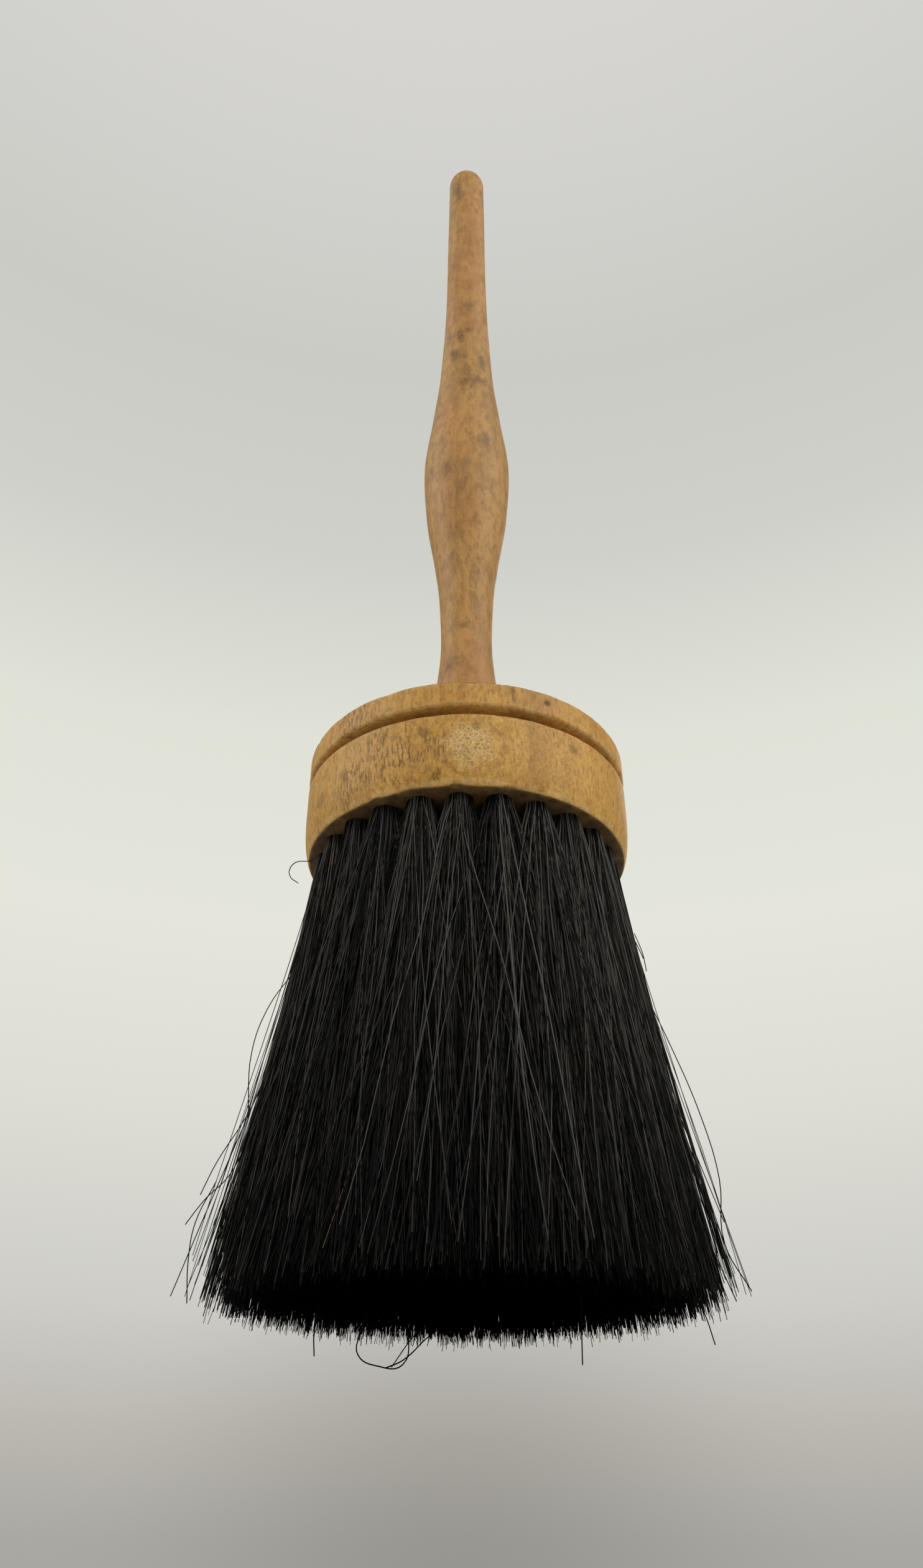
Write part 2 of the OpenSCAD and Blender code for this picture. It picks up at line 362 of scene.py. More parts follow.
block_wood = varnished_beech(
    "block_beech", tint(194, 146, 68), tint(140, 98, 38), tint(210, 166, 92),
    grain=0.55, flecks=0.8, stains=0.3,
    marks=[
        (-5.9, -28.4, 82.2, 1.8, 0.55), (2.0, -29.0, 79.0, 6.0, -0.75), (3.0, -29.0, 82.6, 1.3, 0.5),
        (1.2, -28.8, 77.2, 2.0, 0.3), (18.9, -22.0, 82.3, 1.6, 0.6), (-24.2, -16.0, 76.8, 2.4, 0.4),
        (-3.5, -28.8, 73.2, 1.4, 0.5), (7.0, -28.1, 73.6, 2.0, 0.35), (22.0, 19.0, 78.0, 2.6, 0.4),
        (-16.0, 24.0, 75.0, 2.2, 0.4),
    ],
    rays=[(-11.0, -26.8, 79.0, 8.5), (-4.0, -28.8, 78.0, 5.0), (-18.0, -22.6, 76.5, 6.0)],
    rings=[(2.4, -29.0, 78.6, 5.2)], dirt_and_shade=block_dirt_and_shade, wear_and_highlight=block_worn,
)


def drilled(name, solid, seats, bit, wood):
    """The solid with a hole of the bit's shape at every seat, a seat being (place in mm, axis).
    The solid, the seats and the bit are used up."""
    points = bpy.data.meshes.new("seats")
    points.from_pydata([tuple(Vector(at) * MM) for at, axis in seats], [], [])
    lean = points.attributes.new("axis", "FLOAT_VECTOR", "POINT")
    lean.data.foreach_set("vector", [c for at, axis in seats for c in axis])
    seat_points, cutter, carrier = piece("seats", points), piece("bit", bit), piece("solid", solid)
    modifier = carrier.modifiers.new("drill", "NODES")
    modifier.node_group = drill_tree
    asked = {"Seats": seat_points, "Bit": cutter, "Wood": wood}
    for item in drill_tree.interface.items_tree:
        if item.in_out == "INPUT" and item.name in asked:
            modifier[item.identifier] = asked[item.name]
    evaluated = carrier.evaluated_get(bpy.context.evaluated_depsgraph_get())
    mesh = bpy.data.meshes.new_from_object(evaluated)
    for used in (carrier, cutter, seat_points):
        bpy.data.objects.remove(used)
    mesh.name = name
    mesh.shade_smooth()
    mesh.set_sharp_from_angle(angle=math.radians(38))
    return mesh


drill_tree = bpy.data.node_groups.new("drill_holes", "GeometryNodeTree")
drill_inputs = (("Solid", "Geometry"), ("Seats", "Object"), ("Bit", "Object"), ("Wood", "Material"))
for label, kind in drill_inputs:
    drill_tree.interface.new_socket(label, in_out="INPUT", socket_type="NodeSocket" + kind)
drill_tree.interface.new_socket("Drilled", in_out="OUTPUT", socket_type="NodeSocketGeometry")
drill = Socket(drill_tree)
given = drill_tree.nodes.new("NodeGroupInput")
solid, seats, bit, wood = (Socket(drill_tree, end) for end in given.outputs[:4])
axis = drill.add("GeometryNodeInputNamedAttribute", {"data_type": "FLOAT_VECTOR"}, {"Name": "axis"})
seat_places = drill.add("GeometryNodeObjectInfo", {}, {"Object": seats, "As Instance": False}, "Geometry")
bit_shape = drill.add("GeometryNodeObjectInfo", {}, {"Object": bit}, "Geometry")
turn = drill.add("FunctionNodeAlignRotationToVector", {"axis": "Z"}, {"Vector": axis})
holes = drill.add(
    "GeometryNodeInstanceOnPoints", {}, {"Points": seat_places, "Instance": bit_shape, "Rotation": turn}
)
holes = drill.add("GeometryNodeRealizeInstances", {}, {0: holes})
boolean = {"operation": "DIFFERENCE", "solver": "EXACT"}
cut = drill.add("GeometryNodeMeshBoolean", boolean, {0: solid, 1: holes})
cut = drill.add("GeometryNodeRealizeInstances", {}, {0: cut})
cut = drill.add("GeometryNodeSetMaterial", {}, {0: cut, "Material": wood})
drill_tree.links.new(cut.end, drill_tree.nodes.new("NodeGroupOutput").inputs[0])

hole_seats = []
for ring, count in enumerate(tufts_in_ring):
    for i in range(count):
        bearing = 2 * math.pi * i / count
        reach = ring * ring_step
        place = (reach * math.cos(bearing), reach * math.sin(bearing), block_z)
        hole_seats.append((place, Vector((-place[0], -place[1], splay_h)).normalized()))
stepped_bit = turned(
    [
        (0, -bit_below), (seat_r, -bit_below), (seat_r, seat_deep),
        (wire_hole_r, seat_deep), (wire_hole_r, wire_hole_end), (0, wire_hole_end),
    ],
    28,
)
lower_edge = round_edge(head_r - lower_round, block_z + lower_rise, lower_round, lower_rise, -90, 0, 22)
upper_edge = round_edge(head_r - upper_round, block_top - upper_round, upper_round, upper_round, 0, 90, 4)
drum_outline = [(0, block_z), (13, block_z), (face_r, block_z)]
drum_outline += along([(face_r, block_z)] + lower_edge, 0.45)[1:]
drum_side = [(head_r, block_z + lower_rise), (head_r, block_top - upper_round)]
drum_outline += along(drum_side + upper_edge, 0.45)[1:]
drum_outline += [(back_r, block_top), (pocket_r, block_top)]
drum_outline += [(pocket_r, block_top - pocket_deep), (0, block_top - pocket_deep)]
block_knocks = [
    (269.4, 71.6, 0.9, 0.4, 0.35), (241.3, 71.5, 0.8, 0.4, 0.3), (255.0, 71.6, 2.2, 0.4, 0.15),
    (287.0, 71.7, 1.6, 0.4, 0.15), (312.9, 82.4, 0.8, 0.5, 0.22), (213.7, 76.9, 1.4, 1.0, 0.1),
    (301.0, 85.1, 1.2, 0.3, 0.12), (262.0, 85.2, 0.9, 0.3, 0.14),
]
block_knocks += chips(3, block_z + 0.3, 70, 0.05) + chips(4, block_top - 0.15, 60, 0.1)
drum = turned(drum_outline, 360, block_knocks, skin=27, sway=0.03)
block_mesh = drilled("tuft_block_turned", drum, hole_seats, stepped_bit, block_wood)
piece("tuft_block_turned", block_mesh, "tuft_block")

# ---- Hair tufts ------------------------------------------------------------------------
# Each hole holds a bundle of black horsehair; the fold over the drawing wire, inside the hole,
# is not modelled. The hair leaves the hole straight, springs apart below the block until tufts
# meet, and is cut off flat. It ends a little raggedly, and a few hairs bow out of line.

tuft_tree = bpy.data.node_groups.new("hair_tuft", "GeometryNodeTree")
# Lengths are in metres. The hair starts hidden in its hole and is cut off at the floor. The
# outer tufts hold more hair than the inner ones, spread less and are cut less evenly.
tuft_inputs = {
    "Strands": ("Int", 400), "Strand radius": ("Float", 0.0001), "Hair length": ("Float", block_z * MM),
    "Hidden length": ("Float", 0.003), "Root radius": ("Float", 0.00195), "Ring radius": ("Float", 0.0244),
    "Bearing": ("Float", 0.0), "Splay height": ("Float", splay_h * MM), "Spring": ("Float", 0.75),
    "Spread along": ("Float", 1.3), "Spread across": ("Float", 0.5), "Wander": ("Float", 0.0008),
    "Cross": ("Float", 0.085), "Uneven": ("Float", 0.008), "Stragglers": ("Float", 0.007),
    "Seed": ("Int", 0), "Hair": ("Material", None),
}
tufts_by_ring = {
    "Strands": [280, 280, 320, 420], "Spread along": [1.9, 2.0, 1.8, 0.4],
    "Spread across": [1.9, 0.8, 0.4, 0.3], "Uneven": [0.0, 0.001, 0.003, 0.011],
}
for label, (kind, usual) in tuft_inputs.items():
    made = tuft_tree.interface.new_socket(label, in_out="INPUT", socket_type="NodeSocket" + kind)
    if usual is not None:
        made.default_value = usual
tuft_tree.interface.new_socket("Tuft", in_out="OUTPUT", socket_type="NodeSocketGeometry")
hair = Socket(tuft_tree)
given = tuft_tree.nodes.new("NodeGroupInput")
size = {label: Socket(tuft_tree, given.outputs[label]) for label in tuft_inputs}
line = hair.add("GeometryNodeCurvePrimitiveLine")
one_hair = hair.add("GeometryNodeResampleCurve", {}, {"Curve": line, "Count": 12})
bundle = hair.add(
    "GeometryNodeDuplicateElements", {"domain": "SPLINE"}, {"Geometry": one_hair, "Amount": size["Strands"]}
)
strand = Socket(tuft_tree, bundle.end.node.outputs["Duplicate Index"])
down = hair.add("GeometryNodeSplineParameter")


def chance(k, low=0.0, high=1.0):
    """A number between low and high that stays the same along one strand."""
    wanted = {2: low, 3: high, "ID": strand, "Seed": size["Seed"] * 23 + k}
    return hair.add("FunctionNodeRandomValue", {}, wanted, 1)


# Where each hair starts in the hole, and how much shorter than the rest it is
root_turn = chance(1, 0.0, 2 * math.pi)
root_r = chance(2) ** 0.5 * size["Root radius"]
root_out = root_r * root_turn.maths("COSINE")
root_side = root_r * root_turn.maths("SINE")
luck = chance(3)
outer_edge = (root_out / size["Root radius"]).ease(0.0, 1.0)
short = chance(4, -0.0013, 0.001) + luck.ease(0.7, 1.0) * chance(5, 0.0, 0.005)
short = short + luck.ease(0.965, 1.0) * chance(6, 0.0, 0.03)
short = short + (outer_edge * 0.7 + 0.3) * chance(15) ** 1.6 * size["Uneven"]
reach = size["Hair length"] + size["Hidden length"] - short
h = (down ** 1.6) * reach - size["Hidden length"]
below = h.maths("MAXIMUM", 0.0)
share = below / size["Hair length"]
sprung = 1 - (below / -0.005).maths("EXPONENT")
out_spread = 1 + share * size["Spread along"] + sprung * (size["Spring"] * 0.15)
side_spread = 1 + share * size["Spread across"] + sprung * size["Spring"]

# How it strays from straight: it drifts with its neighbours, bows, kinks a little and leans
neighbours = {0: root_out * 1100, 1: root_side * 1100, 2: share * 0.9 + size["Seed"] * 3.7}
lock = hair.add("ShaderNodeCombineXYZ", {}, neighbours)
drift = hair.add("ShaderNodeTexNoise", {}, {"Vector": lock, "Scale": 1.0, "Detail": 2.0}, "Color")
drift_out, drift_side = (hair.add("ShaderNodeSeparateXYZ", {}, {0: drift}, k) - 0.5 for k in range(2))
wave = share * chance(7, 1.0, 5.0) + chance(8, 0.0, 6.0)
bow = (wave.maths("SINE") - (wave - share * 3.0).maths("SINE") * 0.4) * share * chance(9, 0.0, 0.0032)
kink = (share * chance(22, 7.0, 15.0) + chance(23, 0.0, 6.0)).maths("SINE") * sprung * chance(24, 0.0, 0.0004)
lean_side = chance(16, -1.0, 1.0) + chance(17, -1.0, 1.0) + chance(18, -1.0, 1.0) ** 3.0 * 2.0
lean_side = lean_side * size["Cross"]
lean_out = (chance(19, -1.0, 1.0) + chance(20, -1.0, 1.0)) * size["Cross"] * 0.3 * share ** 0.5
stray = (chance(10) ** 16.0) * size["Stragglers"]
stray_turn = chance(11, 0.0, 2 * math.pi)
bend = share ** 1.5
out_shift = drift_out * share * size["Wander"] * 3.0 + bow * chance(21, -0.8, 0.8)
out_shift = out_shift + lean_out * below + stray * bend * stray_turn.maths("COSINE")
side_shift = kink + drift_side * share * size["Wander"] * 3.0 + bow * chance(12, -1.0, 1.0)
side_shift = side_shift + lean_side * below + stray * bend * stray_turn.maths("SINE")

# Its place, out and aside from the ring's bearing, and its tube
out = size["Ring radius"] * (1 + h / size["Splay height"]) + root_out * out_spread + out_shift
side = root_side * side_spread + side_shift
cos_b = size["Bearing"].maths("COSINE")
sin_b = size["Bearing"].maths("SINE")
axes = {0: out * cos_b - side * sin_b, 1: out * sin_b + side * cos_b, 2: size["Hair length"] - h}
place = hair.add("ShaderNodeCombineXYZ", {}, axes)
bundle = hair.add("GeometryNodeSetPosition", {}, {"Geometry": bundle, "Position": place})
for label, value in (("tone", chance(13)), ("depth", share)):
    bundle = hair.add(
        "GeometryNodeStoreNamedAttribute", {"data_type": "FLOAT", "domain": "POINT"},
        {"Geometry": bundle, "Name": label, "Value": value},
    )
section = hair.add("GeometryNodeCurvePrimitiveCircle", {}, {"Resolution": 3, "Radius": 1.0})
thickness = size["Strand radius"] * chance(14, 0.6, 1.15) * (1 - 0.3 * share)
tubes = hair.add(
    "GeometryNodeCurveToMesh", {},
    {"Curve": bundle, "Profile Curve": section, "Scale": thickness, "Fill Caps": True},
)
tubes = hair.add("GeometryNodeSetShadeSmooth", {}, {0: tubes})
tubes = hair.add("GeometryNodeRealizeInstances", {}, {0: tubes})
tubes = hair.add("GeometryNodeSetMaterial", {}, {0: tubes, "Material": size["Hair"]})
tuft_tree.links.new(tubes.end, tuft_tree.nodes.new("NodeGroupOutput").inputs[0])

# Each hair has its own shade, from black to a worn grey or brown, and fewer are light towards the
# cut: that darkening towards the cut is painted shade. A very few are light brown, and dust
# clings near the roots.
black_hair = bpy.data.materials.new("black_horsehair")
black_hair.use_nodes = True
coat = Socket(black_hair.node_tree)
tone = coat.add("ShaderNodeAttribute", {"attribute_name": "tone"}, {}, "Fac")
depth = coat.add("ShaderNodeAttribute", {"attribute_name": "depth"}, {}, "Fac")
spot = coat.add("ShaderNodeTexCoord", out="Object")
dust = coat.add("ShaderNodeTexNoise", {}, {"Vector": spot, "Scale": 900.0, "Detail": 2.0}).ease(0.6, 0.72)
worn_brown = coat.mix((tone * 13).maths("FRACT"), tint(80, 80, 77), tint(84, 77, 70))
# Painted shade: fewer hairs are light towards the cut.
colour = coat.mix((tone - depth * depth * 0.32).ease(0.34, 0.88), tint(4, 4, 4), worn_brown)
colour = coat.mix(tone.ease(0.993, 0.996), colour, tint(134, 108, 84))
colour = coat.mix(dust * 0.35 * (1 - depth.ease(0.0, 0.35)), colour, tint(110, 100, 90))
gloss = 0.38 + (tone * 31).maths("FRACT") * 0.3
shader = black_hair.node_tree.nodes["Principled BSDF"]
links = black_hair.node_tree.links
links.new(colour.end, shader.inputs["Base Color"])
links.new(gloss.end, shader.inputs["Roughness"])
shader.inputs["Specular IOR Level"].default_value = 0.1

tufts = []
for ring, (ring_name, count) in enumerate(zip(ring_names, tufts_in_ring)):
    for i in range(count):
        tuft = piece(f"hair_{ring_name}_{i + 1:02d}", bpy.data.meshes.new("hair"))
        modifier = tuft.modifiers.new("tuft", "NODES")
        modifier.node_group = tuft_tree
        asked = {label: values[ring] for label, values in tufts_by_ring.items()}
        asked |= {"Ring radius": ring * ring_step * MM, "Bearing": 2 * math.pi * i / count}
        asked |= {"Seed": 100 * ring + i, "Hair": black_hair}
        for item in tuft_tree.interface.items_tree:
            if item.in_out == "INPUT" and item.name in tuft_inputs:
                modifier[item.identifier] = asked.get(item.name, tuft_inputs[item.name][1])
        tufts.append((tuft, f"tuft_{ring_name}_{i + 1:02d}"))
bpy.context.view_layer.update()
graph = bpy.context.evaluated_depsgraph_get()
for tuft, node in tufts:
    grown = tuft.evaluated_get(graph)
    mesh = bpy.data.meshes.new_from_object(grown, preserve_all_data_layers=True, depsgraph=graph)
    tuft.modifiers.clear()
    tuft.data = mesh
    mesh.name = tuft.name
    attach(tuft, "root")
    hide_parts(node)

# ---- Drawing wires ---------------------------------------------------------------------
# One soft brass wire for each ring. It runs round the back of the block and dips into every
# hole, where it holds the fold of a tuft. Tarnished brown in patches.

tarnished_brass = bpy.data.materials.new("tarnished_brass")
tarnished_brass.use_nodes = True
metal = Socket(tarnished_brass.node_tree)
spot = metal.add("ShaderNodeTexCoord", out="Object")
tarnish = metal.add("ShaderNodeTexNoise", {}, {"Vector": spot, "Scale": 260.0, "Detail": 4.0})
tarnish = tarnish.ease(0.38, 0.62)
draw_mark = metal.add("ShaderNodeTexNoise", {}, {"Vector": spot, "Scale": 3200.0, "Detail": 2.0})
relief = metal.add("ShaderNodeBump", {}, {"Strength": 0.4, "Distance": 0.00003, "Height": draw_mark})
shader = tarnished_brass.node_tree.nodes["Principled BSDF"]
links = tarnished_brass.node_tree.links
links.new(metal.mix(tarnish, tint(190, 150, 84), tint(92, 66, 38)).end, shader.inputs["Base Color"])
links.new((0.28 + tarnish * 0.3 + draw_mark * 0.1).end, shader.inputs["Roughness"])
links.new(relief.end, shader.inputs["Normal"])
shader.inputs["Metallic"].default_value = 1.0
for ring_name in ring_names:
    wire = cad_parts["draw_wire_" + ring_name]
    wire.material_slots[0].material = tarnished_brass

# ---- Handle ----------------------------------------------------------------------------
# A long slender spindle of beech: a collar that seats on the cap, a thin neck, a swelling
# for the hand and a straight end with a round tip. Stained redder than the head, varnished,
# and blotched dark by hands. Its spigot is glued in the cap and drilled for the screw.

seat_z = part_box("head_cap")[1].z / MM
tip_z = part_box("handle")[1].z / MM
tip_r = 4.7
collar_r, collar_bead = 11.5, 1.5
spigot_r, spigot_deep = 6, 4.2
shank_r = 1.85
pilot_end, pilot_cone = 21.4, 5
stations = [
    (3.4, 11.2), (8, 8.7), (15, 6.7), (31, 5.2), (43, 5.635), (53, 6.766), (67, 8.724), (81, 9.55),
    (98, 7.95), (115, 6.349), (150, 5.04), (tip_z - seat_z - tip_r, tip_r),
]


def flowing(points, steps):
    """A smooth curve through (height, radius) stations that never overshoots them."""
    chords = [(b[1] - a[1]) / (b[0] - a[0]) for a, b in zip(points, points[1:])]
    inner = [0 if a * b <= 0 else 2 * a * b / (a + b) for a, b in zip(chords, chords[1:])]
    slopes = [chords[0]] + inner + [chords[-1]]
    out = []
    for (h0, r0), (h1, r1), s0, s1 in zip(points, points[1:], slopes, slopes[1:]):
        for k in range(steps):
            t, span = k / steps, h1 - h0
            radius = (2 * t**3 - 3 * t**2 + 1) * r0 + (t**3 - 2 * t**2 + t) * span * s0
            radius += (3 * t**2 - 2 * t**3) * r1 + (t**3 - t**2) * span * s1
            out.append((radius, h0 + t * span))
    return out


spindle = [(0, pilot_end + pilot_cone), (0.25, pilot_end + pilot_cone), (shank_r, pilot_end)]
spindle += [(shank_r, -spigot_deep), (spigot_r, -spigot_deep), (spigot_r, 0), (collar_r, 0)]
spindle += round_edge(collar_r, collar_bead, 1, collar_bead, -60, 70, 8)
spindle += along(flowing(stations, 18), 1.2)
spindle += round_edge(0, tip_z - seat_z - tip_r, tip_r, tip_r, 0, 90, 16)


def handle_grime(r, z, facing):
    """Dirt round the foot of the collar, where it meets the cap."""
    return near_z(z, seat_z + 0.6, 1.6) * 0.8


handle_wood = varnished_beech(
    "handle_beech", tint(176, 132, 73), tint(130, 94, 50), tint(190, 148, 86),
    grain=1.4, flecks=0.15, stains=1.0, warm=0.3,
    marks=[
        (-1.0, -6.1, 217.4, 1.7, 0.6, 2.8), (0.8, -6.2, 219.6, 2.4, 0.5), (-3.0, -6.1, 210.8, 2.4, 0.6, 1.6),
        (4.1, -5.5, 207.1, 1.7, 0.6, 4.2), (0.2, -6.9, 202.7, 1.8, 0.5, 2.4),
        (-0.4, -7.3, 197.0, 1.5, 0.5, 3.6), (3.5, -6.3, 199.9, 2.0, 0.5),
        (-4.6, -8.3, 167.1, 2.3, 0.4, 1.6), (-0.3, -7.6, 192.1, 3.0, 0.25),
        (-2.5, -4.1, 286.6, 2.4, 0.45, 2.5), (-0.2, -4.7, 289.5, 3.0, 0.3), (-0.2, -5.2, 239.7, 2.8, 0.3),
        (-1.2, -9.3, 155.0, 2.0, 0.35), (0.3, -8.0, 143.5, 2.0, 0.3, 2.0), (1.7, -6.4, 132.0, 2.3, 0.45),
        (-0.6, -5.9, 125.1, 2.3, 0.5), (-3.0, -4.4, 114.5, 1.8, 0.6), (5.0, -3.0, 228.0, 2.2, 0.4, 2.0),
        (-4.0, 5.0, 215.0, 3.4, 0.5, 2.0), (6.0, 6.0, 170.0, 3.0, 0.4, 1.6),
    ],
    dirt_and_shade=handle_grime,
)
handle_knocks = [
    (268, 228, 1.2, 3.0, 0.12), (282, 252, 1.0, 2.2, 0.1), (275, 176, 1.4, 2.0, 0.12),
    (255, 203, 1.0, 1.5, 0.1),
]
handle_mesh = turned([(r, z + seat_z) for r, z in spindle], 96, handle_knocks, skin=4.6, sway=0.04)
handle_mesh.shade_smooth()
handle_mesh.set_sharp_from_angle(angle=math.radians(40))
handle_mesh.materials.append(handle_wood)
piece("handle_turned", handle_mesh, "handle")

# ---- Handle screw ----------------------------------------------------------------------
# A slotted steel screw, driven up through the cap into the handle before the block goes on.
# It is shut in between the two, so it has dull grey faces and only a little rust.

dull_steel = bpy.data.materials.new("dull_steel")
dull_steel.use_nodes = True
metal = Socket(dull_steel.node_tree)
spot = metal.add("ShaderNodeTexCoord", out="Object")
blotches = {"Vector": spot, "Scale": 420.0, "Detail": 5.0, "Roughness": 0.65}
rust = metal.add("ShaderNodeTexNoise", {}, blotches).ease(0.52, 0.66)
grit = metal.add("ShaderNodeTexNoise", {}, {"Vector": spot, "Scale": 2600.0, "Detail": 3.0})
relief = metal.add("ShaderNodeBump", {}, {"Strength": 0.5, "Distance": 0.00005, "Height": grit + rust})
shader = dull_steel.node_tree.nodes["Principled BSDF"]
links = dull_steel.node_tree.links
links.new(metal.mix(rust, tint(120, 118, 115), tint(88, 50, 30)).end, shader.inputs["Base Color"])
links.new((0.38 + rust * 0.4 + grit * 0.1).end, shader.inputs["Roughness"])
links.new((1 - rust * 0.85).end, shader.inputs["Metallic"])
links.new(relief.end, shader.inputs["Normal"])
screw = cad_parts["handle_screw"]
screw.material_slots[0].material = dull_steel

# ---- Cap and its brads -----------------------------------------------------------------
# The turned beech disc that closes the head: a plain band with a rounded lip over the
# rebate, and a slightly domed top with the handle's socket. Four steel brads pin it to the
# rim of the block. Dirt has gathered in the rebate, and the top edge is bumped and cracked.

cap_z, cap_top = block_top, seat_z
lip_z, band_top = cap_z + 1.9, cap_z + 6.8
lip_round, top_round = 0.6, 0.8
sink_r, sink_deep = 3.55, 1.8
socket_r, socket_deep = 6.05, 4.4
flat_r = 13.5
brad_r = boss_r - 0.8
brad_turns = [math.radians(7.5 + 90 * i) for i in range(4)]
brad_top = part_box("cap_brads")[1].z / MM + 0.25
brad_shank_r, brad_hole_deep = 0.55, 12
brad_head_r, brad_head_deep = 0.95, 0.65
bit_above = 1.5


def cap_dirt_and_shade(r, z, facing):
    """Dirt in the rebate below the band, and a dark line round the top edge, partly dirt and partly painted
    shade.
    """
    in_rebate = near_z(z, cap_z + 0.9, 1.25) * (1 - r.ease(27.0, 28.4)) * 0.3
    # The dark line round the top edge is partly painted shade.
    return in_rebate + near_z(z, band_top, 0.6) * r.ease(28.0, 28.6) * 0.9


def cap_wear_and_highlight(r, z, facing):
    """Varnish rubbed off the lip, with a painted highlight along it."""
    # The pale band on the lip is worn varnish and a painted highlight.
    return near_z(z, lip_z + 0.3, 0.5) * 0.35


cap_wood = varnished_beech(
    "cap_beech", tint(194, 144, 68), tint(140, 96, 40), tint(206, 162, 88),
    grain=0.7, flecks=0.4, stains=0.3,
    marks=[
        (14.8, -25.0, 89.8, 1.0, 0.9), (-7.0, -25.6, 85.9, 1.0, 0.6), (2.1, -28.6, 92.0, 0.9, -1.0),
        (8.9, -27.6, 88.6, 3.2, 0.25), (9.1, -27.6, 90.4, 0.7, 0.6, 4.0), (-20.0, -21.0, 90.2, 1.6, 0.3),
        (4.0, 28.0, 89.0, 2.6, 0.4),
    ],
    rays=[(-18.0, -22.6, 89.0, 6.0)], dirt_and_shade=cap_dirt_and_shade, wear_and_highlight=cap_wear_and_highlight,
)
lip_edge = round_edge(head_r - lip_round, lip_z + lip_round, lip_round, lip_round, -90, 0, 7)
top_edge = round_edge(head_r - top_round, band_top - top_round, top_round, top_round, 0, 80, 8)
cap_outline = [(shank_r, cap_z + sink_deep), (sink_r, cap_z), (14, cap_z)]
cap_outline += along([(24.0, cap_z), (boss_r, cap_z), (boss_r, lip_z)], 0.4)
cap_outline += along([(boss_r, lip_z)] + lip_edge, 0.4)[1:]
cap_outline += along([(head_r, lip_z + lip_round)] + top_edge, 0.35)[1:]
cap_outline += along([cap_outline[-1], (flat_r, cap_top)], 0.8)[1:]
cap_outline += [(socket_r, cap_top), (socket_r, cap_top - socket_deep), (shank_r, cap_top - socket_deep)]
cap_knocks = [
    (300.7, 89.8, 0.5, 1.1, 0.2), (274.2, 91.6, 0.8, 0.4, 0.3), (288.2, 90.2, 0.18, 2.4, 0.16),
    (259.2, 85.8, 1.0, 0.6, 0.4), (254.2, 85.9, 0.9, 0.5, 0.4), (283.5, 85.5, 0.9, 0.5, 0.35),
    (245.0, 91.9, 1.6, 0.4, 0.15),
]
cap_knocks += chips(5, band_top - 0.3, 80, 0.14) + chips(6, lip_z + 0.2, 50, 0.08)
disc = turned(cap_outline, 360, cap_knocks, skin=26, sway=0.03, closed=True)
brad_seats = [((brad_r * math.cos(a), brad_r * math.sin(a), brad_top), (0, 0, 1)) for a in brad_turns]
brad_bit = turned(
    [
        (0, -brad_hole_deep), (brad_shank_r, -brad_hole_deep), (brad_shank_r, -brad_head_deep),
        (brad_head_r, -brad_head_deep), (brad_head_r, bit_above), (0, bit_above),
    ],
    24,
)
cap_mesh = drilled("head_cap_turned", disc, brad_seats, brad_bit, cap_wood)
piece("head_cap_turned", cap_mesh, "head_cap")
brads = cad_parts["cap_brads"]
brads.material_slots[0].material = dull_steel

# ---- Stray hairs -----------------------------------------------------------------------
# Single hairs that have worked loose from the tufts: they stand out at the sides, curl at
# the root or hang below the cut ends. The same black horsehair, each hair bent through
# listed places in mm.

stray_r = 0.08
strays = [
    [(-26.9, -1.4, 59.6), (-28.4, -1.5, 54.0), (-32.9, -1.7, 45.9), (-34.8, -1.8, 38.5), (-34.3, -1.8, 27.6)],
    [(-32.4, -1.7, 33.3), (-34.7, -1.8, 27.6), (-38.4, -2.0, 20.7), (-40.3, -2.1, 15.9)],
    [(-33.3, -1.7, 27.4), (-36.1, -1.9, 19.0), (-39.6, -2.1, 15.1), (-42.0, -2.2, 11.6)],
    [(-38.1, -2.0, 17.9), (-40.5, -2.1, 12.0), (-40.9, -2.1, 7.2), (-40.3, -2.1, 0.8)],
    [
        (30.2, -3.4, 43.9), (31.9, -3.3, 39.4), (36.1, -3.1, 26.2), (37.7, -3.0, 17.3), (37.4, -3.0, 8.1),
        (40.4, -2.9, 1.8),
    ],
    [(32.9, -3.3, 14.0), (35.9, -3.1, 6.4), (38.1, -3.0, 0.5)],
    [(30.3, -8.4, 3.7), (32.7, -8.3, -1.8), (33.7, -8.2, -5.6)],
    [(26.9, 1.4, 61.9), (28.8, 1.5, 58.4), (30.1, 1.6, 54.9)],
    [(28.9, 1.5, 59.6), (30.0, 1.6, 56.0), (30.4, 1.6, 52.6)],
    [(1.6, -19.9, 0.5), (-1.2, -20.1, -3.9), (-4.3, -18.2, -5.9), (-7.2, -18.4, -8.4), (-9.4, -18.6, -9.3)],
    [(0.2, -25.0, -0.3), (-3.1, -22.2, -3.8), (-6.0, -20.3, -6.2), (-8.4, -20.5, -9.4)],
    [(15.5, -24.2, 1.1), (15.3, -23.2, -6.0), (15.2, -23.2, -9.5)],
    [
        (-10.9, -22.6, -2.7), (-12.3, -22.7, -6.0), (-12.4, -22.7, -8.2), (-9.8, -22.6, -9.5),
        (-6.8, -22.4, -9.3), (-6.1, -22.4, -5.4),
    ],
    [(-17.9, -21.0, -2.5), (-18.3, -21.0, -5.5), (-18.1, -21.0, -8.2)],
    [(-25.4, -13.4, 67.0), (-27.9, -15.5, 65.3), (-28.3, -15.5, 63.2), (-27.0, -14.4, 62.3)],
    [(-26.5, -3.4, 67.0), (-27.1, -3.4, 62.1), (-27.4, -3.4, 59.8)],
    [(-26.9, -3.4, 62.1), (-27.6, -3.4, 56.3), (-27.6, -3.4, 53.4)],
]
loose = bpy.data.curves.new("stray_hairs", "CURVE")
loose.dimensions = "3D"
loose.bevel_depth = stray_r * MM
loose.bevel_resolution = 0
loose.use_fill_caps = True
loose.resolution_u = 6
